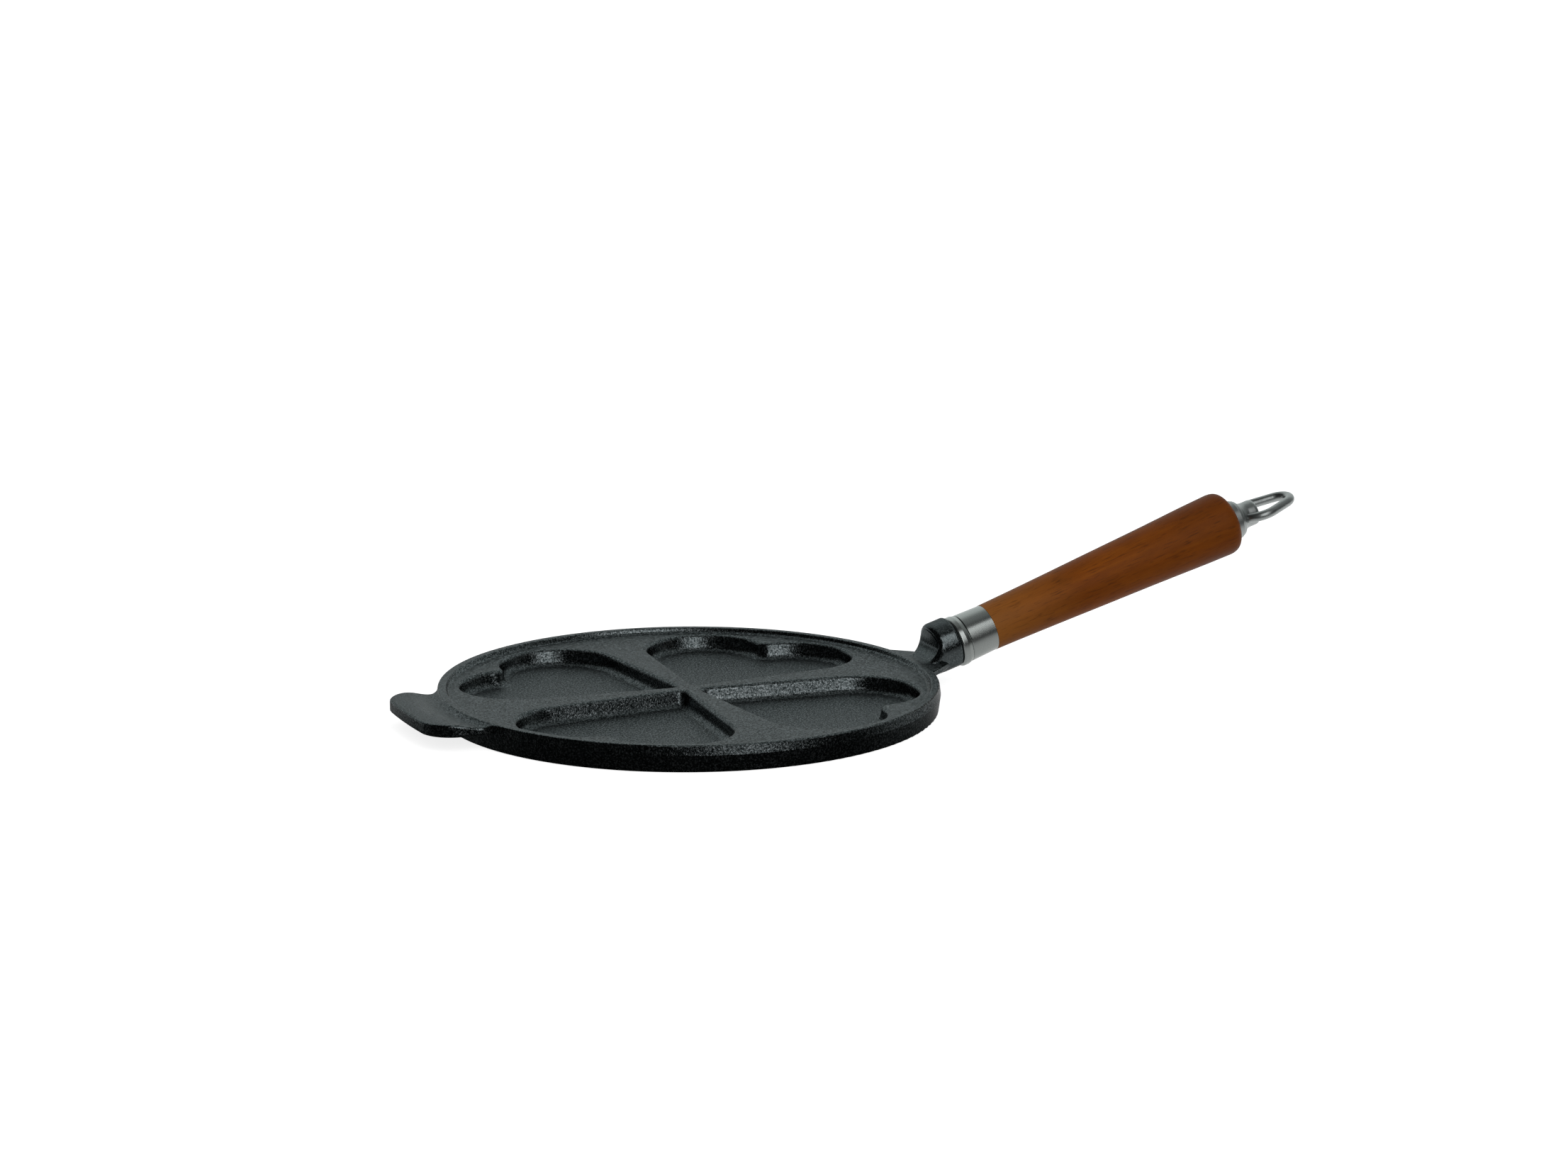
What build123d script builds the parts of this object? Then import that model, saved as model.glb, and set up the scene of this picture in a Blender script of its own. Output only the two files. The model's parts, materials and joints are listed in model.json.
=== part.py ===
# A cast iron pan with four heart-shaped wells, a helper tab and a socket that carries a wooden handle.
# Origin: the centre of the flat underside. +X points to the handle, +Y to the left of it, +Z up. Millimetres.
import math
import os

from build123d import *

# Disc of the casting
pan_radius = 115.0
underside_radius = 113.9
parting_height = 7.8
upper_edge_radius = 114.4
pan_height = 12.2
rim_width = 3.6
rim_edge_round = 0.8
plate_drop = 2.3
rim_wall_run = 1.2
rim_cove = 1.4
underside_round = 1.0

# Heart-shaped wells, one in each quarter, their tips to the centre
well_count = 4
well_angle = 45.0
lobe_centre_out = 74.5
lobe_centre_across = 22.0
lobe_radius = 28.0
heart_tip_out = 4.6
tip_round = 3.6
notch_round = 5.0
well_depth = 7.4
well_draft = 13.0
well_cove = 3.6
well_edge_round = 2.2

# The tab and the web start inside the disc's wall, and their tops lie a little below the rim
joint_radius = 113.6
joint_cover = 1.6
ledge_height = 11.8

# Helper tab opposite the handle, with the heights of its top at those distances from the pan's axis
tab_reach = 136.9
tab_corner_reach = 135.1
tab_half_width = 34.2
tab_corner_round = 15.0
tab_root_round = 9.0
tab_root_reach = 80.0
tab_inner_reach = 60.0
tab_ring_overlap = 3.0
tab_valley_radius = 117.3
tab_valley_height = 10.5
tab_top_heights = ((120.6, 10.85), (124, 11.7), (128, 12.5), (132, 12.8), (138, 12.6), (144, 12.2))
tab_end_slope = -0.1
tab_under_height = 7.0
tab_edge_round = 1.1

# Grip axis: it rises outwards from a point over the rim, and the ferrule and the wood are turned about it
grip_tilt = 17.5
axis_start_radius = 115.0
axis_start_height = 12.0

# Screw axis: the socket, the rod and the hanging eye lie on it, and the wood is bored along it. It crosses
# the grip axis at a small angle, above it at the socket and below it at the eye.
screw_tilt = 16.8
screw_rise = 1.1
screw_rise_position = 14.4

# Socket of the casting. Its lower part runs in to the disc, and its upper part is cut back in a sweep.
socket_radius = 12.1
socket_start = -6.0
socket_start_radius = 11.1
socket_full_position = 11.0
socket_outer_end = 19.8
socket_inner_end = 9.0
sweep_radius = 7.6
socket_inner_round = 2.4
socket_outer_round = 1.4

# Web: a level ledge that joins the socket's sides to the rim
web_outline = ((105, 30.8), (120.4, 17.2), (127, 10.5))
web_root_round = 6.0
web_thickness = 3.2
web_edge_round = 1.0
web_side_round = 8.0

# How far a cut or a spare end reaches past the solid that it shapes, and a length that spans the casting
cut_spare = 1.0
wide_cut = 40.0

# Screw thread, drawn plain at its outside diameter
thread_radius = 4.0
rod_radius = 3.95
tapped_depth = 8.0
drill_point_depth = 1.2
rod_engagement = 7.75
rod_end_gap = 0.2
rod_chamfer = 0.8

# Ferrule
ferrule_end = 38.7
ferrule_lip_radius = 12.0
ferrule_lip_round = 1.2
ferrule_lip_length = 3.2
ferrule_band_end = 25.1
ferrule_front_radius = 11.45
ferrule_rear_radius = 11.05
ferrule_groove_depth = 0.3
ferrule_groove_width = 0.7
ferrule_bore_radius = 9.7
ferrule_front_wall = 2.0
rod_passage_radius = 4.6

# Wooden grip
grip_end = 174.3
grip_front_radius = 11.15
grip_profile = (
    (60, 11.7),
    (80, 12.35),
    (100, 13.05),
    (120, 13.7),
    (140, 14.45),
    (156, 15.1),
    (166, 15.4),
    (169.6, 15.3),
    (171.8, 14.5),
    (173.4, 12.5),
    (174.1, 10.2),
)
grip_spare_end = (174.7, 8.7)
tenon_radius = 9.65
tenon_front_gap = 0.3
grip_shoulder_gap = 0.05

# Hanging eye
collar_radius = 9.5
collar_edge = 0.3
collar_rim_end = 177.2
neck_profile = ((178.5, 8.9), (179.6, 7.9), (180.8, 6.85), (182.4, 6.3))
neck_radius = 6.2
neck_start = 185.0
neck_end = 186.6
neck_dome_end = 188.8
eye_bar_radius = 2.3
eye_wide_radius = 10.2
eye_wide_position = 190.5
eye_tip_radius = 6.8
eye_tip_position = 201.0
eye_thread_depth = 9.0
eye_thread_radius = 3.97

rim_inner_radius = upper_edge_radius - rim_width
plate_height = pan_height - plate_drop
plate_radius = rim_inner_radius - rim_wall_run
plate_cove_start = plate_radius - rim_cove


def reach(point):
    """How far a point lies from the pan's upright axis."""
    return math.hypot(point.X, point.Y)


def same(one, other):
    """Whether two lengths agree to a hundredth of a millimetre."""
    return abs(one - other) < 0.01


def runs_level(edge):
    """Whether an edge runs more level than upright at its middle."""
    return abs(edge.tangent_at(0.5).Z) < 0.7


def direction_at(tilt):
    """The direction that rises by that angle from +X."""
    return Vector(math.cos(math.radians(tilt)), 0, math.sin(math.radians(tilt)))


def rise_at(tilt):
    """The upward direction square to that one."""
    return Vector(-math.sin(math.radians(tilt)), 0, math.cos(math.radians(tilt)))


grip_origin = Vector(axis_start_radius, 0, axis_start_height)
screw_point = grip_origin + direction_at(grip_tilt) * screw_rise_position + rise_at(grip_tilt) * screw_rise
screw_origin = screw_point - direction_at(screw_tilt) * screw_rise_position


def along_screw(distance):
    """The plane square to the screw axis at that distance: its x is the row's +Y, its y points up."""
    direction = direction_at(screw_tilt)
    return Plane(origin=screw_origin + direction * distance, x_dir=(0, 1, 0), z_dir=direction)


def grip_section():
    """The upright plane through the grip axis: x runs along the axis, y away from it."""
    return Plane(origin=grip_origin, x_dir=direction_at(grip_tilt), z_dir=(0, -1, 0))


def screw_section():
    """The upright plane through the screw axis: x runs along the axis, y away from it."""
    return Plane(origin=screw_origin, x_dir=direction_at(screw_tilt), z_dir=(0, -1, 0))


def eye_plane():
    """The plane that the hanging eye lies in: x runs along the screw axis, y is the row's +Y."""
    return Plane(origin=screw_origin, x_dir=direction_at(screw_tilt), z_dir=rise_at(screw_tilt))


grip_axis = Axis(grip_origin, direction_at(grip_tilt))
screw_axis = Axis(screw_origin, direction_at(screw_tilt))


# Plan of one heart, its tip at the pan's centre and its lobes out along +X
tip_to_lobe = lobe_centre_out - heart_tip_out
tangent_angle = math.asin(lobe_radius / math.hypot(tip_to_lobe, lobe_centre_across))
tangent_angle = tangent_angle + math.atan2(lobe_centre_across, tip_to_lobe)
side_run = math.sqrt(tip_to_lobe**2 + lobe_centre_across**2 - lobe_radius**2)
side_end_out = heart_tip_out + side_run * math.cos(tangent_angle)
side_end_across = side_run * math.sin(tangent_angle)

with BuildSketch(Plane.XY.offset(plate_height)) as heart_plan:
    with Locations((lobe_centre_out, lobe_centre_across), (lobe_centre_out, -lobe_centre_across)):
        Circle(lobe_radius)
    with BuildLine():
        Polyline(
            (heart_tip_out, 0),
            (side_end_out, side_end_across),
            (lobe_centre_out, 0),
            (side_end_out, -side_end_across),
            close=True,
        )
    make_face()
    tip = heart_plan.vertices().sort_by(Axis.X)[0]
    fillet(tip, tip_round)
    notch = heart_plan.vertices().filter_by(lambda v: same(v.Y, 0)).sort_by(Axis.X)[-1]
    fillet(notch, notch_round)

with BuildPart() as heart_well:
    add(heart_plan.sketch)
    extrude(amount=-well_depth, taper=well_draft)
    floor_edges = heart_well.faces().sort_by(Axis.Z)[0].edges()
    fillet(floor_edges, well_cove)


# Disc with its rim, turned about the pan's axis
with BuildPart() as disc:
    with BuildSketch(Plane.XZ):
        with BuildLine():
            Polyline(
                (0, 0),
                (underside_radius, 0),
                (pan_radius, parting_height),
                (upper_edge_radius, pan_height),
                (rim_inner_radius, pan_height),
                (plate_radius, plate_height),
                (0, plate_height),
                close=True,
            )
        make_face()
    revolve(axis=Axis.Z)
    circles = disc.edges().filter_by(GeomType.CIRCLE)
    fillet(circles.filter_by(lambda e: same(e.center().Z, pan_height)), rim_edge_round)
    circles = disc.edges().filter_by(GeomType.CIRCLE)
    fillet(circles.filter_by(lambda e: same(e.radius, plate_radius)), rim_cove)
    circles = disc.edges().filter_by(GeomType.CIRCLE)
    fillet(circles.filter_by(lambda e: same(e.center().Z, 0)), underside_round)


# Helper tab: its heights follow circles about the pan's axis, and its plan is cut out of that ring
tab_ring_inner = joint_radius - tab_ring_overlap
tab_ring_outer = tab_top_heights[-1][0]

with BuildSketch() as tab_plan:
    Circle(joint_radius)
    with BuildLine():
        ThreePointArc(
            (-tab_corner_reach, tab_half_width),
            (-tab_reach, 0),
            (-tab_corner_reach, -tab_half_width),
        )
        Polyline(
            (-tab_corner_reach, -tab_half_width),
            (-tab_root_reach, -tab_half_width),
            (-tab_root_reach, tab_half_width),
            (-tab_corner_reach, tab_half_width),
        )
    make_face()
    fillet(tab_plan.vertices().filter_by(lambda v: v.X < -pan_radius), tab_corner_round)
    root_x = -math.sqrt(joint_radius**2 - tab_half_width**2)
    fillet(tab_plan.vertices().filter_by(lambda v: same(v.X, root_x)), tab_root_round)
    with Locations((-tab_inner_reach, 0)):
        Rectangle(2 * pan_radius, 3 * pan_radius, align=(Align.MIN, Align.CENTER), mode=Mode.SUBTRACT)

with BuildPart() as tab_ring:
    with BuildSketch(Plane.XZ):
        with BuildLine():
            TangentArc(
                (tab_valley_radius, tab_valley_height),
                (upper_edge_radius, ledge_height),
                tangent=(-1, 0),
            )
            Polyline(
                (upper_edge_radius, ledge_height),
                (tab_ring_inner, ledge_height),
                (tab_ring_inner, tab_under_height),
                (tab_ring_outer, tab_under_height),
                tab_top_heights[-1],
            )
            Spline(
                (tab_valley_radius, tab_valley_height),
                *tab_top_heights,
                tangents=[(1, 0), (1, tab_end_slope)],
            )
        make_face()
    revolve(axis=Axis.Z)

with BuildPart() as tab:
    add(tab_plan.sketch)
    extrude(amount=wide_cut)
    add(tab_ring.part, mode=Mode.INTERSECT)
    upright = tab.faces().filter_by(lambda f: abs(f.normal_at().Z) < 0.5)
    outer_faces = upright.filter_by(lambda f: f.center().X < -tab_inner_reach - cut_spare)
    outer_faces = outer_faces.filter_by(lambda f: reach(f.center()) > joint_radius - joint_cover)
    outline = ShapeList(set(outer_faces.edges()))
    fillet(outline.filter_by(runs_level), tab_edge_round)


# Socket: turned about the screw axis, cut level with the ledge towards the pan and swept up to its inner face
screw_slope = math.tan(math.radians(screw_tilt))
ledge_start_rise = (ledge_height - screw_origin.Z) / math.cos(math.radians(screw_tilt))
cut_start = socket_start - wide_cut
cut_start_rise = ledge_start_rise - cut_start * screw_slope
cut_corner_rise = ledge_start_rise - socket_inner_end * screw_slope

with BuildPart() as socket:
    with BuildSketch(screw_section()):
        with BuildLine():
            Polyline(
                (socket_start, 0),
                (socket_start, -socket_start_radius),
                (socket_full_position, -socket_radius),
                (socket_outer_end, -socket_radius),
                (socket_outer_end, 0),
                close=True,
            )
        make_face()
    revolve(axis=screw_axis)
    with BuildSketch(screw_section()) as socket_cut:
        with BuildLine():
            Polyline(
                (cut_start, cut_start_rise),
                (socket_inner_end, cut_corner_rise),
                (socket_inner_end, wide_cut),
                (cut_start, wide_cut),
                close=True,
            )
        make_face()
        fillet(socket_cut.vertices().sort_by(Axis.Y)[0], sweep_radius)
    extrude(amount=wide_cut, both=True, mode=Mode.SUBTRACT)
    cut_outline = socket.edges(Select.NEW).filter_by(GeomType.LINE, reverse=True)
    fillet(cut_outline, socket_inner_round)
    outer_circle = socket.edges().filter_by(GeomType.CIRCLE).sort_by(screw_axis)[-1]
    fillet(outer_circle, socket_outer_round)


# Web: a level ledge that widens from the socket's sides to the rim
with BuildPart() as web:
    with BuildSketch(Plane.XY.offset(ledge_height - web_thickness)) as web_plan:
        Circle(joint_radius)
        with BuildLine():
            Polyline(
                *web_outline,
                *[(x, -y) for x, y in reversed(web_outline)],
                close=True,
            )
        make_face()
        circle_corners = web_plan.vertices().filter_by(lambda v: same(reach(v), joint_radius))
        fillet(circle_corners.filter_by(lambda v: web_outline[0][0] < v.X < joint_radius), web_root_round)
        side_corners = web_plan.vertices().filter_by(lambda v: same(v.X, web_outline[1][0]))
        fillet(side_corners, web_side_round)
    extrude(amount=web_thickness)
    fillet(web.edges().filter_by(runs_level), web_edge_round)


# The pan: one casting
with BuildPart() as pan_casting:
    add(socket.part)
    add(web.part)
    with BuildSketch():
        Circle(joint_radius - joint_cover)
    extrude(amount=wide_cut, mode=Mode.SUBTRACT)
    add(disc.part)
    add(tab.part)
    with PolarLocations(0, well_count, start_angle=well_angle):
        add(heart_well.part, mode=Mode.SUBTRACT)
    plate_edges = pan_casting.edges().filter_by(
        lambda e: all(same(e.position_at(part).Z, plate_height) for part in (0.3, 0.7))
    )
    fillet(plate_edges.filter_by(lambda e: reach(e.position_at(0.5)) < plate_cove_start), well_edge_round)
    with BuildSketch(along_screw(socket_outer_end)):
        Circle(thread_radius)
    extrude(amount=-tapped_depth, mode=Mode.SUBTRACT)
    with BuildSketch(screw_section()):
        with BuildLine():
            Polyline(
                (socket_outer_end - tapped_depth - drill_point_depth, 0),
                (socket_outer_end - tapped_depth, thread_radius),
                (socket_outer_end - tapped_depth, 0),
                close=True,
            )
        make_face()
    revolve(axis=screw_axis, mode=Mode.SUBTRACT)
pan_casting.part.label = "pan_casting"


# Ferrule: a turned cup with a lip at the front and a fine groove behind it, its face flat on the socket
with BuildPart() as ferrule:
    with BuildSketch(grip_section()):
        groove_start = ferrule_band_end - ferrule_groove_width / 2
        groove_end = ferrule_band_end + ferrule_groove_width / 2
        with BuildLine():
            Polyline(
                (socket_outer_end - cut_spare, 0),
                (socket_outer_end - cut_spare, ferrule_lip_radius),
                (socket_outer_end + ferrule_lip_length, ferrule_lip_radius),
                (groove_start, ferrule_front_radius),
                (ferrule_band_end, ferrule_front_radius - ferrule_groove_depth),
                (groove_end, ferrule_front_radius),
                (ferrule_end, ferrule_rear_radius),
                (ferrule_end, ferrule_bore_radius),
                (socket_outer_end + ferrule_front_wall, ferrule_bore_radius),
                (socket_outer_end + ferrule_front_wall, 0),
                close=True,
            )
        make_face()
    revolve(axis=grip_axis)
    split(bisect_by=along_screw(socket_outer_end), keep=Keep.TOP)
    with BuildSketch(along_screw(socket_outer_end - cut_spare)):
        Circle(rod_passage_radius)
    extrude(amount=ferrule_front_wall + 3 * cut_spare, mode=Mode.SUBTRACT)
    lip = ferrule.faces().sort_by(screw_axis)[0].edges().sort_by(SortBy.LENGTH)[-1]
    fillet(lip, ferrule_lip_round)
    circles = ferrule.edges().filter_by(GeomType.CIRCLE)
    fillet(circles.filter_by(lambda e: same(e.radius, ferrule_lip_radius)), ferrule_lip_round)
ferrule.part.label = "ferrule"


# Wooden grip: a turned handle that swells to its free end, with a tenon in the ferrule and a bore for the rod
with BuildPart() as wooden_grip:
    with BuildSketch(grip_section()):
        tenon_start = socket_outer_end + ferrule_front_wall + tenon_front_gap
        shoulder = ferrule_end + grip_shoulder_gap
        with BuildLine():
            Spline((shoulder, grip_front_radius), *grip_profile, grip_spare_end)
            Polyline(
                grip_spare_end,
                (grip_spare_end[0], 0),
                (tenon_start, 0),
                (tenon_start, tenon_radius),
                (shoulder, tenon_radius),
                (shoulder, grip_front_radius),
            )
        make_face()
    revolve(axis=grip_axis)
    split(bisect_by=along_screw(grip_end), keep=Keep.BOTTOM)
    with BuildSketch(along_screw(tenon_start - cut_spare)):
        Circle(rod_passage_radius)
    extrude(amount=grip_end - tenon_start + 2 * cut_spare, mode=Mode.SUBTRACT)
wooden_grip.part.label = "wooden_grip"


# Rod: screwed into the socket at its inner end and into the hanging eye at its outer end
rod_start = socket_outer_end - rod_engagement
rod_end = grip_end + eye_thread_depth - rod_end_gap

with BuildPart() as threaded_rod:
    with BuildSketch(along_screw(rod_start)):
        Circle(rod_radius)
    extrude(amount=rod_end - rod_start)
    chamfer(threaded_rod.edges().filter_by(GeomType.CIRCLE), rod_chamfer)
threaded_rod.part.label = "threaded_rod"


# Hanging eye: a collar against the wood that narrows to a neck, and an egg-shaped loop of round bar
eye_span = eye_tip_position - eye_wide_position
belt_angle = math.acos((eye_wide_radius - eye_tip_radius) / eye_span)
wide_tangent = (
    eye_wide_position + eye_wide_radius * math.cos(belt_angle),
    eye_wide_radius * math.sin(belt_angle),
)
tip_tangent = (
    eye_tip_position + eye_tip_radius * math.cos(belt_angle),
    eye_tip_radius * math.sin(belt_angle),
)

with BuildPart() as hanging_eye:
    with BuildLine(eye_plane()) as loop_path:
        ThreePointArc(
            (wide_tangent[0], wide_tangent[1]),
            (eye_wide_position - eye_wide_radius, 0),
            (wide_tangent[0], -wide_tangent[1]),
        )
        Line((wide_tangent[0], -wide_tangent[1]), (tip_tangent[0], -tip_tangent[1]))
        ThreePointArc(
            (tip_tangent[0], -tip_tangent[1]),
            (eye_tip_position + eye_tip_radius, 0),
            (tip_tangent[0], tip_tangent[1]),
        )
        Line((tip_tangent[0], tip_tangent[1]), (wide_tangent[0], wide_tangent[1]))
    start_frame = Plane(origin=loop_path.line @ 0, z_dir=loop_path.line % 0)
    with BuildSketch(start_frame):
        Circle(eye_bar_radius)
    sweep(path=loop_path.line)
    with BuildSketch(screw_section()):
        with BuildLine():
            Polyline(
                (neck_dome_end, 0),
                (grip_end, 0),
                (grip_end, collar_radius - collar_edge),
                (grip_end + collar_edge, collar_radius),
                (collar_rim_end, collar_radius),
            )
            Spline(
                (collar_rim_end, collar_radius),
                *neck_profile,
                (neck_start, neck_radius),
                tangents=[(0.6, -0.8), (1, 0)],
            )
            Line((neck_start, neck_radius), (neck_end, neck_radius))
            Spline((neck_end, neck_radius), (neck_dome_end, 0), tangents=[(1, 0), (0, -1)])
        make_face()
    revolve(axis=screw_axis)
    with BuildSketch(along_screw(grip_end)):
        Circle(eye_thread_radius)
    extrude(amount=eye_thread_depth, mode=Mode.SUBTRACT)
hanging_eye.part.label = "hanging_eye"


os.makedirs("parts", exist_ok=True)
for piece in (pan_casting, ferrule, wooden_grip, threaded_rod, hanging_eye):
    export_step(piece.part, os.path.join("parts", piece.part.label + ".step"))
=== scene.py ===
# The looks of a heart pancake pan: blackened sand-cast iron, a turned steel ferrule, a turned hardwood grip
# and a plated hanging eye. Metres, in the pan's own frame: origin under the disc, +X to the handle, +Z up.
import json
import math

import bpy
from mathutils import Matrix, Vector


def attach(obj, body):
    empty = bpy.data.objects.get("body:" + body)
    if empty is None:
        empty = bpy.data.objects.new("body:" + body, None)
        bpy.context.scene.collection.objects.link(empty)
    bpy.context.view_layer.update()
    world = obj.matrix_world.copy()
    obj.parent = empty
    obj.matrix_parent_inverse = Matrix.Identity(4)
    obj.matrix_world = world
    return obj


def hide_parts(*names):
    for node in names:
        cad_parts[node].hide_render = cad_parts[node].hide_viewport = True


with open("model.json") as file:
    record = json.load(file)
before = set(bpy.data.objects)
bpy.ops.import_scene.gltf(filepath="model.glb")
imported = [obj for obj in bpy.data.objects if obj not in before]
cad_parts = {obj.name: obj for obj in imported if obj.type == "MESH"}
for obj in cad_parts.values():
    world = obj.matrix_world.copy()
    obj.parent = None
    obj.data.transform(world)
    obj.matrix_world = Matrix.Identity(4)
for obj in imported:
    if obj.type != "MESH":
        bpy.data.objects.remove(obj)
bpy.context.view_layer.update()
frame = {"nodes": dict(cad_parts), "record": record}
nodes = frame["nodes"]

MM = 0.001

# Grip axis: the ferrule and the wood are turned about it
GRIP_TILT = math.radians(17.5)

# Screw axis: the rod and the eye lie on it. It is the axis of the record's joints.
screw_joint = next(joint for joint in frame["record"]["behaviour"]["joints"] if joint["name"] == "eye_screw")
SCREW_AXIS = Vector(screw_joint["axis"]).normalized()
SCREW_POINT = Vector(screw_joint["pos_m"])


def linear(hex_colour):
    """An sRGB hex colour as the linear colour that a shader takes."""
    channels = [int(hex_colour[i : i + 2], 16) / 255 for i in (1, 3, 5)]
    return [c / 12.92 if c <= 0.04045 else ((c + 0.055) / 1.055) ** 2.4 for c in channels] + [1.0]


def add_node(tree, kind, links=None, values=None, **settings):
    """One shader node: its settings, its plain input values, and the sockets linked into it."""
    made = tree.nodes.new(kind)
    for name, value in settings.items():
        setattr(made, name, value)
    for socket, value in (values or {}).items():
        made.inputs[socket].default_value = value
    for socket, source in (links or {}).items():
        tree.links.new(source, made.inputs[socket])
    return made


def new_material(name):
    """An empty node material, with its tree and a principled shader linked to its output."""
    material = bpy.data.materials.new(name)
    material.use_nodes = True
    tree = material.node_tree
    tree.nodes.clear()
    output = tree.nodes.new("ShaderNodeOutputMaterial")
    shader = tree.nodes.new("ShaderNodeBsdfPrincipled")
    tree.links.new(shader.outputs[0], output.inputs[0])
    return material, tree, shader


def dress(obj, material):
    """Puts the material on every slot of a piece."""
    if not obj.data.materials:
        obj.data.materials.append(material)
    for i in range(len(obj.data.materials)):
        obj.data.materials[i] = material


# Camera: the photograph's place, aim and lens, found by fitting the disc and its wells
PHOTO_PLACE = (-0.7239, -1.7326, 0.4718)
PHOTO_AIM = (0.39713, 0.89196, -0.21609)
PHOTO_LENS = 97.2
SENSOR_WIDTH = 36.0

camera_data = bpy.data.cameras.new("photo_camera")
camera = bpy.data.objects.new("photo_camera", camera_data)
bpy.context.scene.collection.objects.link(camera)
camera_data.sensor_width = SENSOR_WIDTH
camera_data.lens = PHOTO_LENS
camera.location = PHOTO_PLACE
camera.rotation_mode = "QUATERNION"
camera.rotation_quaternion = Vector(PHOTO_AIM).to_track_quat("-Z", "Y")
bpy.context.scene.camera = camera


# Blackened cast iron, cast in green sand and seasoned with oil: a hard black oxide skin that mirrors like a
# dark metal. Level faces are satin and show the white backdrop as a grey veil. Steep walls are glossy with
# oil, so they are black in front of a dark room, and their grit glints where they face a light.
IRON_LEAN = "#4a5051"
IRON_FULL = "#515758"
IRON_GLINT = "#7c8284"
IRON_SOOT = "#1e2324"
# how much the skin mirrors at a grazing angle, where bare metal would mirror all
IRON_EDGE = 0.51
IRON_CLOUD = 25 * MM
# about 0.5 mm on the real walls, drawn coarser so that it shows
IRON_GRIT = 0.75 * MM
IRON_GRIT_DEPTH = 0.28 * MM
IRON_GRAIN = 0.8 * MM
# the most that a bright or sooty grain takes of its own colour
GLINT_MOST = 0.9
# the grit stands up about alike on steep walls and level faces, and the oil makes the steep ones glossier
STEEP_BUMP = 0.48
LEVEL_BUMP = 0.6
STEEP_ROUGH = 0.16
LEVEL_ROUGH = 0.36
DRY_ROUGH = 0.12
CLOUD_ROUGH = 0.05
# the socket is smoother than the disc: the grit and the grains fade to this share just past the rim
SOCKET_GRIT = 0.35
RIM_END = 112 * MM
SOCKET_START = 122 * MM


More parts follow.
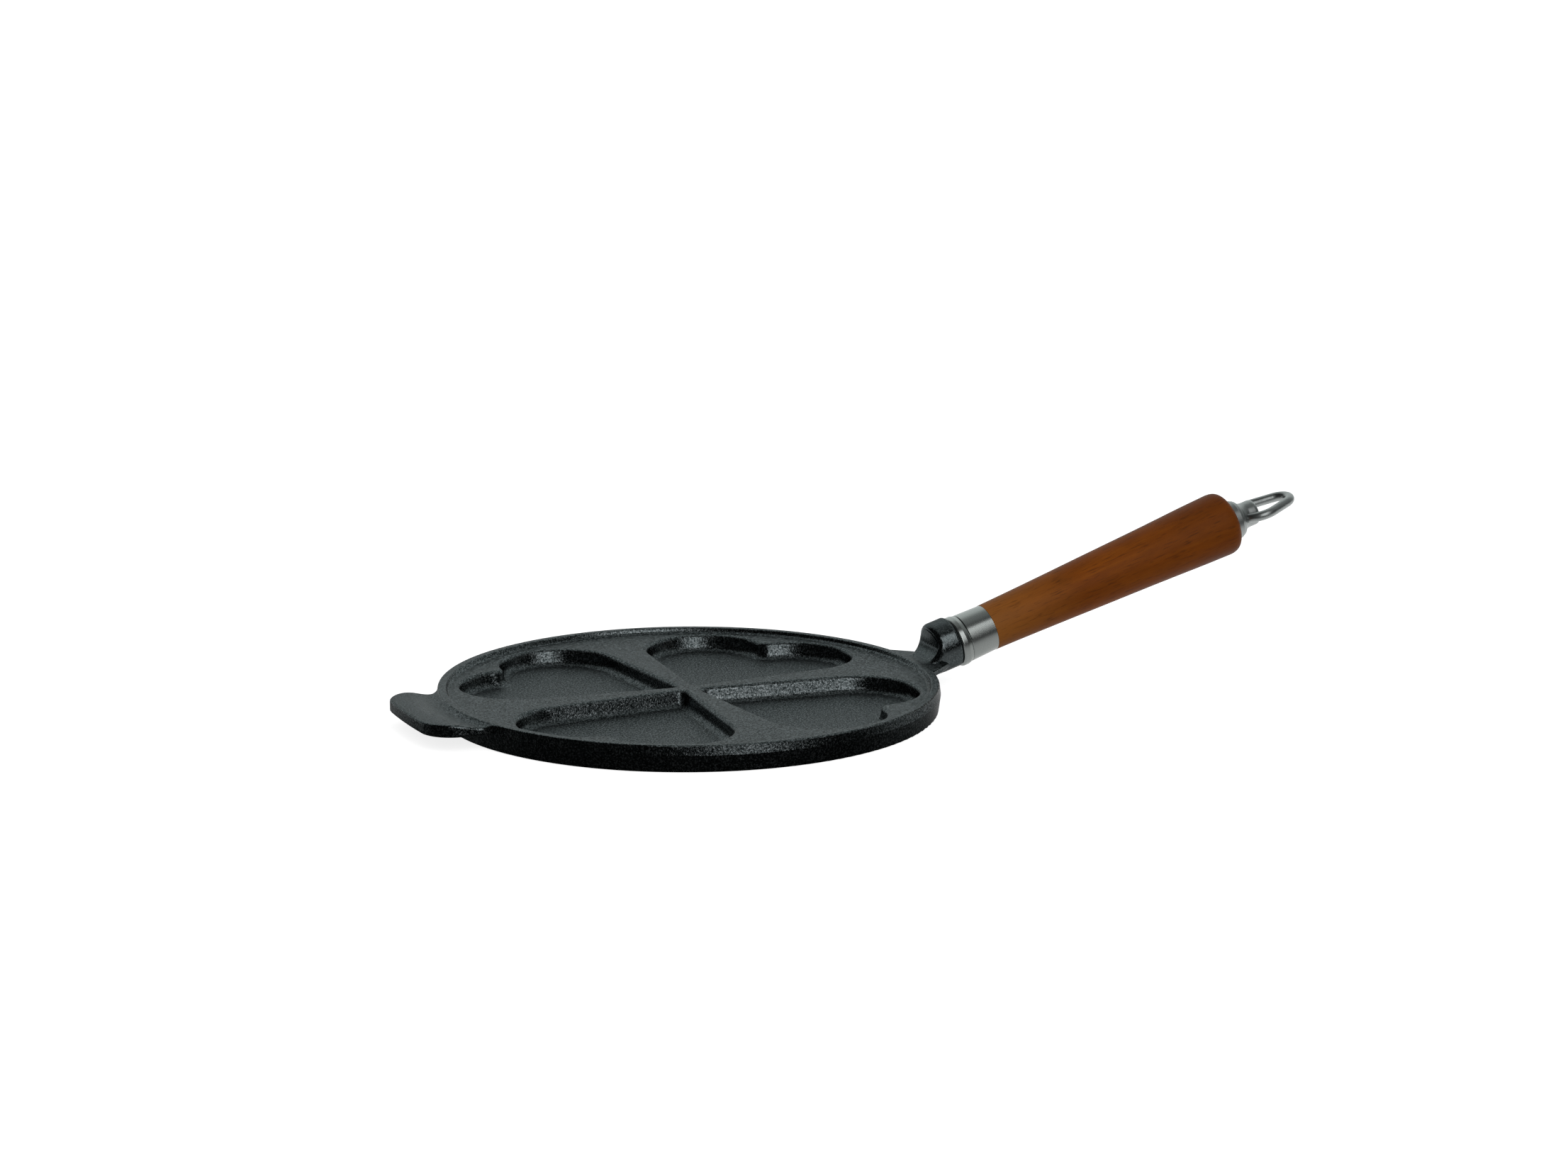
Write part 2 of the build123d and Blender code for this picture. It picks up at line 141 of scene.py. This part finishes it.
def blackened_cast_iron():
    material, tree, shader = new_material("blackened_sand_cast_iron")
    place = add_node(tree, "ShaderNodeTexCoord")
    normal = add_node(tree, "ShaderNodeSeparateXYZ", links={0: place.outputs["Normal"]})
    level = add_node(
        tree,
        "ShaderNodeMapRange",
        links={"Value": normal.outputs["Z"]},
        values={"From Min": 0.45, "From Max": 0.95},
        interpolation_type="SMOOTHSTEP",
    )
    # grit of the moulding sand
    grit = add_node(
        tree,
        "ShaderNodeTexNoise",
        links={"Vector": place.outputs["Object"]},
        values={"Scale": 1 / IRON_GRIT, "Detail": 3.0, "Roughness": 0.7},
    )
    # dry grains, oiled ones and sooty ones
    grains = add_node(
        tree,
        "ShaderNodeTexNoise",
        links={"Vector": place.outputs["Object"]},
        values={"Scale": 1 / IRON_GRAIN, "Detail": 1.0, "Roughness": 0.5},
    )
    dry = add_node(
        tree,
        "ShaderNodeMapRange",
        links={"Value": grains.outputs["Fac"]},
        values={"From Min": 0.5, "From Max": 0.62, "To Min": 0.0, "To Max": DRY_ROUGH},
    )
    # unevenness of the oiling
    cloud = add_node(
        tree,
        "ShaderNodeTexNoise",
        links={"Vector": place.outputs["Object"]},
        values={"Scale": 1 / IRON_CLOUD, "Detail": 4.0, "Roughness": 0.6},
    )
    colour = add_node(
        tree,
        "ShaderNodeMix",
        data_type="RGBA",
        links={"Factor": cloud.outputs["Fac"]},
        values={"A": linear(IRON_LEAN), "B": linear(IRON_FULL)},
    )
    position = add_node(tree, "ShaderNodeSeparateXYZ", links={0: place.outputs["Object"]})
    grit_share = add_node(
        tree,
        "ShaderNodeMapRange",
        links={"Value": position.outputs["X"]},
        values={"From Min": RIM_END, "From Max": SOCKET_START, "To Min": 1.0, "To Max": SOCKET_GRIT},
    )
    glint_most = add_node(
        tree,
        "ShaderNodeMath",
        operation="MULTIPLY",
        links={0: grit_share.outputs["Result"]},
        values={1: GLINT_MOST},
    )
    glint_share = add_node(
        tree,
        "ShaderNodeMapRange",
        links={"Value": grains.outputs["Fac"], "To Max": glint_most.outputs[0]},
        values={"From Min": 0.52, "From Max": 0.68, "To Min": 0.0},
    )
    glinting = add_node(
        tree,
        "ShaderNodeMix",
        data_type="RGBA",
        links={"Factor": glint_share.outputs["Result"], "A": colour.outputs["Result"]},
        values={"B": linear(IRON_GLINT)},
    )
    soot_share = add_node(
        tree,
        "ShaderNodeMapRange",
        links={"Value": grains.outputs["Fac"], "To Max": glint_most.outputs[0]},
        values={"From Min": 0.48, "From Max": 0.34, "To Min": 0.0},
    )
    sooty = add_node(
        tree,
        "ShaderNodeMix",
        data_type="RGBA",
        links={"Factor": soot_share.outputs["Result"], "A": glinting.outputs["Result"]},
        values={"B": linear(IRON_SOOT)},
    )
    tree.links.new(sooty.outputs["Result"], shader.inputs["Base Color"])
    roughness = add_node(
        tree,
        "ShaderNodeMapRange",
        links={"Value": level.outputs["Result"]},
        values={"To Min": STEEP_ROUGH, "To Max": LEVEL_ROUGH},
    )
    roughness_cloud = add_node(
        tree,
        "ShaderNodeMapRange",
        links={"Value": cloud.outputs["Fac"]},
        values={"To Min": -CLOUD_ROUGH, "To Max": CLOUD_ROUGH},
    )
    roughness_sum = add_node(
        tree,
        "ShaderNodeMath",
        operation="ADD",
        links={0: roughness.outputs["Result"], 1: roughness_cloud.outputs["Result"]},
    )
    grained = add_node(
        tree,
        "ShaderNodeMath",
        operation="ADD",
        links={0: roughness_sum.outputs[0], 1: dry.outputs["Result"]},
    )
    tree.links.new(grained.outputs[0], shader.inputs["Roughness"])
    depth = add_node(
        tree,
        "ShaderNodeMapRange",
        links={"Value": level.outputs["Result"]},
        values={"To Min": STEEP_BUMP, "To Max": LEVEL_BUMP},
    )
    bump_share = add_node(
        tree,
        "ShaderNodeMath",
        operation="MULTIPLY",
        links={0: depth.outputs["Result"], 1: grit_share.outputs["Result"]},
    )
    bump = add_node(
        tree,
        "ShaderNodeBump",
        links={"Height": grit.outputs["Fac"], "Strength": bump_share.outputs[0]},
        values={"Distance": IRON_GRIT_DEPTH},
    )
    tree.links.new(bump.outputs["Normal"], shader.inputs["Normal"])
    shader.inputs["Metallic"].default_value = 1.0
    shader.inputs["Specular Tint"].default_value = (IRON_EDGE, IRON_EDGE, IRON_EDGE, 1.0)
    return material


# Turned hardwood, stained orange brown and oiled: a long, soft figure along the handle, fine pores and a low
# sheen. The colour is paler by the ferrule, a painted sheen, and darker at the thick end, painted shade.
WOOD_RING = "#6c3402"
WOOD_RING_PALE = "#7d4206"
# a darker stain in random patches, and also the painted shade at the thick end
WOOD_DARK_STAIN_AND_SHADE = "#562801"
# painted sheen: a paler colour by the ferrule, where the light lies on the wood
WOOD_PAINTED_SHEEN = "#8a5a28"
WOOD_PORE = "#2e1403"
# growth rings seen from the side, drawn out along the grain
RING_GAP = 3.5 * MM
RING_DRAW = 18
# pores, 0.2 mm wide on the real wood, drawn wider so that they show, and 8 mm long
PORE_GAP = 0.7 * MM
PORE_DRAW = 11
PORE_DEPTH = 0.08 * MM
# stain taken up unevenly, in patches 30 mm long
STAIN_GAP = 10 * MM
STAIN_DRAW = 3
# distances along the grip's axis, where the painted sheen fades out and the painted shade grows
SHEEN_FADE_START = 150 * MM
SHEEN_GONE = 200 * MM
SHADE_START = 215 * MM
SHADE_END = 285 * MM
WOOD_IOR = 1.5
WOOD_SHEEN_LEVEL = 0.08


def stained_hardwood():
    material, tree, shader = new_material("stained_turned_hardwood")
    place = add_node(tree, "ShaderNodeTexCoord")
    along = add_node(
        tree,
        "ShaderNodeMapping",
        links={"Vector": place.outputs["Object"]},
        values={"Rotation": (0, GRIP_TILT, 0)},
    )
    ring_place = add_node(
        tree,
        "ShaderNodeMapping",
        links={"Vector": along.outputs["Vector"]},
        values={"Scale": (1 / RING_DRAW, 1, 1)},
    )
    rings = add_node(
        tree,
        "ShaderNodeTexNoise",
        links={"Vector": ring_place.outputs["Vector"]},
        values={"Scale": 1 / RING_GAP, "Detail": 6.0, "Roughness": 0.66, "Distortion": 0.4},
    )
    pore_place = add_node(
        tree,
        "ShaderNodeMapping",
        links={"Vector": along.outputs["Vector"]},
        values={"Scale": (1 / PORE_DRAW, 1, 1)},
    )
    pores = add_node(
        tree,
        "ShaderNodeTexNoise",
        links={"Vector": pore_place.outputs["Vector"]},
        values={"Scale": 1 / PORE_GAP, "Detail": 2.0, "Roughness": 0.55},
    )
    stain_place = add_node(
        tree,
        "ShaderNodeMapping",
        links={"Vector": along.outputs["Vector"]},
        values={"Scale": (1 / STAIN_DRAW, 1, 1)},
    )
    stain = add_node(
        tree,
        "ShaderNodeTexNoise",
        links={"Vector": stain_place.outputs["Vector"]},
        values={"Scale": 1 / STAIN_GAP, "Detail": 4.0, "Roughness": 0.6},
    )
    ring_share = add_node(
        tree,
        "ShaderNodeMapRange",
        links={"Value": rings.outputs["Fac"]},
        values={"From Min": 0.3, "From Max": 0.7},
    )
    ring_colour = add_node(
        tree,
        "ShaderNodeMix",
        data_type="RGBA",
        links={"Factor": ring_share.outputs["Result"]},
        values={"A": linear(WOOD_RING), "B": linear(WOOD_RING_PALE)},
    )
    stain_share = add_node(
        tree,
        "ShaderNodeMapRange",
        links={"Value": stain.outputs["Fac"]},
        values={"From Min": 0.38, "From Max": 0.66, "To Min": 0.0, "To Max": 0.55},
    )
    stained = add_node(
        tree,
        "ShaderNodeMix",
        data_type="RGBA",
        links={"Factor": stain_share.outputs["Result"], "A": ring_colour.outputs["Result"]},
        values={"B": linear(WOOD_DARK_STAIN_AND_SHADE)},
    )
    place_along = add_node(tree, "ShaderNodeSeparateXYZ", links={0: along.outputs["Vector"]})
    # painted sheen: the wood is paler by the ferrule
    painted_sheen_share = add_node(
        tree,
        "ShaderNodeMapRange",
        links={"Value": place_along.outputs["X"]},
        values={"From Min": SHEEN_FADE_START, "From Max": SHEEN_GONE, "To Min": 0.55, "To Max": 0.0},
    )
    sheen_painted = add_node(
        tree,
        "ShaderNodeMix",
        data_type="RGBA",
        links={"Factor": painted_sheen_share.outputs["Result"], "A": stained.outputs["Result"]},
        values={"B": linear(WOOD_PAINTED_SHEEN)},
    )
    # painted shade: the wood is darker towards the thick end
    painted_shade_share = add_node(
        tree,
        "ShaderNodeMapRange",
        links={"Value": place_along.outputs["X"]},
        values={"From Min": SHADE_START, "From Max": SHADE_END, "To Min": 0.0, "To Max": 0.6},
    )
    shade_painted = add_node(
        tree,
        "ShaderNodeMix",
        data_type="RGBA",
        links={"Factor": painted_shade_share.outputs["Result"], "A": sheen_painted.outputs["Result"]},
        values={"B": linear(WOOD_DARK_STAIN_AND_SHADE)},
    )
    pore_share = add_node(
        tree,
        "ShaderNodeMapRange",
        links={"Value": pores.outputs["Fac"]},
        values={"From Min": 0.56, "From Max": 0.72, "To Min": 0.0, "To Max": 0.5},
    )
    pored = add_node(
        tree,
        "ShaderNodeMix",
        data_type="RGBA",
        links={"Factor": pore_share.outputs["Result"], "A": shade_painted.outputs["Result"]},
        values={"B": linear(WOOD_PORE)},
    )
    tree.links.new(pored.outputs["Result"], shader.inputs["Base Color"])
    roughness = add_node(
        tree,
        "ShaderNodeMapRange",
        links={"Value": rings.outputs["Fac"]},
        values={"To Min": 0.44, "To Max": 0.58},
    )
    tree.links.new(roughness.outputs["Result"], shader.inputs["Roughness"])
    bump = add_node(
        tree,
        "ShaderNodeBump",
        links={"Height": pores.outputs["Fac"]},
        values={"Strength": 0.25, "Distance": PORE_DEPTH},
    )
    tree.links.new(bump.outputs["Normal"], shader.inputs["Normal"])
    shader.inputs["IOR"].default_value = WOOD_IOR
    shader.inputs["Specular IOR Level"].default_value = WOOD_SHEEN_LEVEL
    return material


# Turned steel, satin: hair lines of the tool run round the ferrule
STEEL_DULL = "#8c918f"
STEEL_BRIGHT = "#9a9e9c"
TOOL_LINE_GAP = 0.25 * MM
TOOL_LINE_DEPTH = 0.02 * MM
# the pattern changes this much more slowly round the ferrule than along it, which makes it lines
TOOL_LINE_DRAW = 0.03


def turned_steel():
    material, tree, shader = new_material("turned_bright_steel")
    place = add_node(tree, "ShaderNodeTexCoord")
    along = add_node(
        tree,
        "ShaderNodeMapping",
        links={"Vector": place.outputs["Object"]},
        values={"Rotation": (0, GRIP_TILT, 0), "Scale": (1, TOOL_LINE_DRAW, TOOL_LINE_DRAW)},
    )
    lines = add_node(
        tree,
        "ShaderNodeTexNoise",
        links={"Vector": along.outputs["Vector"]},
        values={"Scale": 1 / TOOL_LINE_GAP, "Detail": 2.0, "Roughness": 0.6},
    )
    colour = add_node(
        tree,
        "ShaderNodeMix",
        data_type="RGBA",
        links={"Factor": lines.outputs["Fac"]},
        values={"A": linear(STEEL_DULL), "B": linear(STEEL_BRIGHT)},
    )
    tree.links.new(colour.outputs["Result"], shader.inputs["Base Color"])
    roughness = add_node(
        tree,
        "ShaderNodeMapRange",
        links={"Value": lines.outputs["Fac"]},
        values={"To Min": 0.24, "To Max": 0.3},
    )
    tree.links.new(roughness.outputs["Result"], shader.inputs["Roughness"])
    bump = add_node(
        tree,
        "ShaderNodeBump",
        links={"Height": lines.outputs["Fac"]},
        values={"Strength": 0.02, "Distance": TOOL_LINE_DEPTH},
    )
    tree.links.new(bump.outputs["Normal"], shader.inputs["Normal"])
    shader.inputs["Metallic"].default_value = 1.0
    return material


# Chrome-plated zinc, cast and tumbled: soft waves of the casting under a satin plating
PLATING_DULL = "#8a8e8d"
PLATING_BRIGHT = "#969a99"
CAST_WAVE_GAP = 5 * MM
CAST_WAVE_DEPTH = 0.4 * MM


def plated_zinc():
    material, tree, shader = new_material("chrome_plated_zinc")
    place = add_node(tree, "ShaderNodeTexCoord")
    waves = add_node(
        tree,
        "ShaderNodeTexNoise",
        links={"Vector": place.outputs["Object"]},
        values={"Scale": 1 / CAST_WAVE_GAP, "Detail": 1.0, "Roughness": 0.4},
    )
    colour = add_node(
        tree,
        "ShaderNodeMix",
        data_type="RGBA",
        links={"Factor": waves.outputs["Fac"]},
        values={"A": linear(PLATING_DULL), "B": linear(PLATING_BRIGHT)},
    )
    tree.links.new(colour.outputs["Result"], shader.inputs["Base Color"])
    roughness = add_node(
        tree,
        "ShaderNodeMapRange",
        links={"Value": waves.outputs["Fac"]},
        values={"To Min": 0.32, "To Max": 0.42},
    )
    tree.links.new(roughness.outputs["Result"], shader.inputs["Roughness"])
    bump = add_node(
        tree,
        "ShaderNodeBump",
        links={"Height": waves.outputs["Fac"]},
        values={"Strength": 0.25, "Distance": CAST_WAVE_DEPTH},
    )
    tree.links.new(bump.outputs["Normal"], shader.inputs["Normal"])
    shader.inputs["Metallic"].default_value = 1.0
    return material


# Rolled thread: M8 x 1.25 at both ends of the rod, with the plain shank of the blank between them
THREAD_PITCH = 1.25 * MM
THREAD_CREST = 3.93 * MM
THREAD_ROOT = 3.25 * MM
SHANK_RADIUS = 3.55 * MM
ROD_CHAMFER = 0.8 * MM
SOCKET_THREAD = 32 * MM
EYE_THREAD = 16 * MM
RUN_OUT = 2 * MM
# half of the crest's flat, as a share of the pitch: the flanks run from there down to a sharp root
HALF_CREST = 0.1
ROUND_STEPS = 32
STEPS_PER_PITCH = 8


def rod_ends():
    """Where the rod starts and ends along the screw axis, from the joint's point."""
    mesh = nodes["threaded_rod"].data
    places = [(vertex.co - SCREW_POINT).dot(SCREW_AXIS) for vertex in mesh.vertices]
    return min(places), max(places)


def thread_radius(along, turn, start, end):
    """The rod's surface radius at a place along it and a share of a turn round it."""
    from_socket = along - start
    from_eye = end - along
    cut = min(1.0, max(0.0, (SOCKET_THREAD - from_socket) / RUN_OUT))
    cut = max(cut, min(1.0, max(0.0, (EYE_THREAD - from_eye) / RUN_OUT)))
    phase = (along / THREAD_PITCH - turn) % 1.0
    flank = min(1.0, max(0.0, (0.5 - abs(phase - 0.5)) / (0.5 - HALF_CREST)))
    radius = SHANK_RADIUS + cut * (THREAD_ROOT + (THREAD_CREST - THREAD_ROOT) * flank - SHANK_RADIUS)
    chamfer = THREAD_CREST - ROD_CHAMFER + min(from_socket, from_eye)
    return min(radius, chamfer)


def rolled_rod():
    """The rod as one closed mesh of rings along the screw axis."""
    start, end = rod_ends()
    fine = THREAD_PITCH / STEPS_PER_PITCH
    places = []
    along = start
    while along < end - fine / 2:
        places.append(along)
        threaded = along - start < SOCKET_THREAD + fine or end - along < EYE_THREAD + 3 * THREAD_PITCH
        along += fine if threaded else 2 * THREAD_PITCH
    places.append(end)
    side = SCREW_AXIS.cross(Vector((0, 1, 0))).normalized()
    across = SCREW_AXIS.cross(side)
    points = []
    for along in places:
        for step in range(ROUND_STEPS):
            turn = step / ROUND_STEPS
            radius = thread_radius(along, turn, start, end)
            spoke = side * math.cos(2 * math.pi * turn) + across * math.sin(2 * math.pi * turn)
            points.append(SCREW_POINT + SCREW_AXIS * along + spoke * radius)
    faces = []
    for ring in range(len(places) - 1):
        for step in range(ROUND_STEPS):
            one = ring * ROUND_STEPS + step
            other = ring * ROUND_STEPS + (step + 1) % ROUND_STEPS
            faces.append((one, other, other + ROUND_STEPS, one + ROUND_STEPS))
    last = (len(places) - 1) * ROUND_STEPS
    faces.append(tuple(reversed(range(ROUND_STEPS))))
    faces.append(tuple(range(last, last + ROUND_STEPS)))
    mesh = bpy.data.meshes.new("rolled_rod")
    mesh.from_pydata(points, [], faces)
    mesh.validate()
    for face in mesh.polygons:
        face.use_smooth = len(face.vertices) == 4
    rod = bpy.data.objects.new("rolled_rod", mesh)
    bpy.context.scene.collection.objects.link(rod)
    dress(rod, turned_steel())
    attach(rod, "screw")
    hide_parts("threaded_rod")


dress(nodes["pan_casting"], blackened_cast_iron())
dress(nodes["wooden_grip"], stained_hardwood())
dress(nodes["ferrule"], turned_steel())
dress(nodes["hanging_eye"], plated_zinc())
rolled_rod()


# The studio, in the object's own frame: white behind the pan and dim overhead, with a dark room in front. The
# metal shows all three. The camera and glass see plain white, and what lights the pan is an even level.
BACKDROP_LEVEL = 1.0
CEILING_LEVEL = 0.32
DARK_ROOM_LEVEL = 0.015
ROOM_LEVEL = 0.6
WHITE = (1, 1, 1, 1)
REFLECTION_TINT = (0.95, 1.0, 0.99, 1)
# directions seen from the pan
TOWARDS_BACKDROP = (0.377, 0.889, 0.259)
TOWARDS_CEILING = (0.609, 0.609, 0.508)


def studio_world():
    world = bpy.data.worlds.new("studio")
    bpy.context.scene.world = world
    world.use_nodes = True
    tree = world.node_tree
    tree.nodes.clear()
    output = tree.nodes.new("ShaderNodeOutputWorld")
    path = add_node(tree, "ShaderNodeLightPath")
    in_view = add_node(
        tree,
        "ShaderNodeMath",
        operation="MAXIMUM",
        links={0: path.outputs["Is Camera Ray"], 1: path.outputs["Is Transmission Ray"]},
    )
    room = add_node(tree, "ShaderNodeBackground", values={"Color": WHITE, "Strength": ROOM_LEVEL})
    backdrop = add_node(tree, "ShaderNodeBackground", values={"Color": WHITE, "Strength": BACKDROP_LEVEL})
    place = add_node(tree, "ShaderNodeTexCoord")
    towards_backdrop = add_node(
        tree,
        "ShaderNodeVectorMath",
        operation="DOT_PRODUCT",
        links={0: place.outputs["Generated"]},
        values={1: TOWARDS_BACKDROP},
    )
    towards_ceiling = add_node(
        tree,
        "ShaderNodeVectorMath",
        operation="DOT_PRODUCT",
        links={0: place.outputs["Generated"]},
        values={1: TOWARDS_CEILING},
    )
    ceiling = add_node(
        tree,
        "ShaderNodeMapRange",
        links={"Value": towards_ceiling.outputs["Value"]},
        values={"From Min": 0.3, "From Max": 0.5, "To Min": DARK_ROOM_LEVEL, "To Max": CEILING_LEVEL},
        interpolation_type="SMOOTHSTEP",
    )
    backdrop_share = add_node(
        tree,
        "ShaderNodeMapRange",
        links={"Value": towards_backdrop.outputs["Value"]},
        values={"From Min": 0.45, "From Max": 0.85, "To Min": 0.0, "To Max": BACKDROP_LEVEL - CEILING_LEVEL},
        interpolation_type="SMOOTHSTEP",
    )
    reflected = add_node(
        tree,
        "ShaderNodeMath",
        operation="ADD",
        links={0: ceiling.outputs["Result"], 1: backdrop_share.outputs["Result"]},
    )
    reflection = add_node(
        tree,
        "ShaderNodeBackground",
        links={"Strength": reflected.outputs[0]},
        values={"Color": REFLECTION_TINT},
    )
    lit = add_node(
        tree,
        "ShaderNodeMixShader",
        links={0: path.outputs["Is Glossy Ray"], 1: room.outputs[0], 2: reflection.outputs[0]},
    )
    shown = add_node(
        tree,
        "ShaderNodeMixShader",
        links={0: in_view.outputs[0], 1: lit.outputs[0], 2: backdrop.outputs[0]},
    )
    tree.links.new(shown.outputs[0], output.inputs["Surface"])


def soft_box(name, place, target, width, height, power):
    """A rectangular soft box aimed at a point, which no camera sees."""
    data = bpy.data.lights.new(name, "AREA")
    data.shape = "RECTANGLE"
    data.size = width
    data.size_y = height
    data.energy = power
    lamp = bpy.data.objects.new(name, data)
    bpy.context.scene.collection.objects.link(lamp)
    lamp.location = place
    lamp.rotation_mode = "QUATERNION"
    lamp.rotation_quaternion = (Vector(target) - Vector(place)).to_track_quat("-Z", "Y")
    lamp.visible_camera = False
    return lamp


studio_world()

# One tall soft box in front of the pan lights the walls that face it and runs as a streak down the ferrule
FRONT_PLACE = (0.13, -1.75, 1.0)
FRONT_AIM = (0, 0, 0.02)
FRONT_WIDTH = 1.0
FRONT_HEIGHT = 1.9
FRONT_RADIANCE = 2.45
front_power = FRONT_RADIANCE * math.pi * FRONT_WIDTH * FRONT_HEIGHT
soft_box("front_box", FRONT_PLACE, FRONT_AIM, FRONT_WIDTH, FRONT_HEIGHT, front_power)


# White paper sweep under the pan: matt, so that it keeps the pan's shadow. It glows for the camera and in
# reflections, so that the background is white. In reflections, the part in front of the pan is a dark table.
PAPER = "#c4c4c4"
TABLE = "#303030"
PAPER_GLOW = 0.8
PAPER_ROUGH = 0.9
# the way from the camera to the pan, along the floor, and where table and paper start on it
ACROSS_FLOOR = (0.384, 0.923, 0)
TABLE_EDGE = -100 * MM
PAPER_EDGE = 140 * MM


def pale_sweep():
    material, tree, shader = new_material("white_paper_sweep")
    output = next(n for n in tree.nodes if n.type == "OUTPUT_MATERIAL")
    shader.inputs["Base Color"].default_value = linear(PAPER)
    shader.inputs["Roughness"].default_value = PAPER_ROUGH
    shader.inputs["Specular IOR Level"].default_value = 0.0
    path = add_node(tree, "ShaderNodeLightPath")
    place = add_node(tree, "ShaderNodeTexCoord")
    distance_back = add_node(
        tree,
        "ShaderNodeVectorMath",
        operation="DOT_PRODUCT",
        links={0: place.outputs["Object"]},
        values={1: ACROSS_FLOOR},
    )
    table_share = add_node(
        tree,
        "ShaderNodeMapRange",
        links={"Value": distance_back.outputs["Value"]},
        values={"From Min": TABLE_EDGE, "From Max": PAPER_EDGE, "To Min": 1.0, "To Max": 0.0},
        interpolation_type="SMOOTHSTEP",
    )
    in_view = add_node(
        tree,
        "ShaderNodeMath",
        operation="MAXIMUM",
        links={0: path.outputs["Is Camera Ray"], 1: path.outputs["Is Transmission Ray"]},
    )
    shown_white = add_node(
        tree,
        "ShaderNodeMath",
        operation="MAXIMUM",
        links={0: in_view.outputs[0], 1: path.outputs["Is Glossy Ray"]},
    )
    glow = add_node(tree, "ShaderNodeEmission", values={"Strength": PAPER_GLOW})
    glowing = add_node(tree, "ShaderNodeAddShader", links={0: shader.outputs[0], 1: glow.outputs[0]})
    shown = add_node(
        tree,
        "ShaderNodeMixShader",
        links={0: shown_white.outputs[0], 1: shader.outputs[0], 2: glowing.outputs[0]},
    )
    table_mirrored = add_node(
        tree,
        "ShaderNodeMath",
        operation="MULTIPLY",
        links={0: path.outputs["Is Glossy Ray"], 1: table_share.outputs["Result"]},
    )
    table = add_node(tree, "ShaderNodeBsdfDiffuse", values={"Color": linear(TABLE)})
    mixed = add_node(
        tree,
        "ShaderNodeMixShader",
        links={0: table_mirrored.outputs[0], 1: shown.outputs[0], 2: table.outputs[0]},
    )
    tree.links.new(mixed.outputs[0], output.inputs["Surface"])
    return material


FLOOR_REACH = 6.0
# a hair under the pan's flat underside, so that the two don't lie in one plane
FLOOR_HEIGHT = -0.2 * MM


def make_floor():
    """The paper as one flat square."""
    signs = [(-1, -1), (1, -1), (1, 1), (-1, 1)]
    corners = [(x * FLOOR_REACH, y * FLOOR_REACH, FLOOR_HEIGHT) for x, y in signs]
    mesh = bpy.data.meshes.new("floor")
    mesh.from_pydata(corners, [], [(0, 1, 2, 3)])
    floor = bpy.data.objects.new("floor", mesh)
    bpy.context.scene.collection.objects.link(floor)
    dress(floor, pale_sweep())


make_floor()

bpy.context.scene.view_settings.view_transform = "Standard"
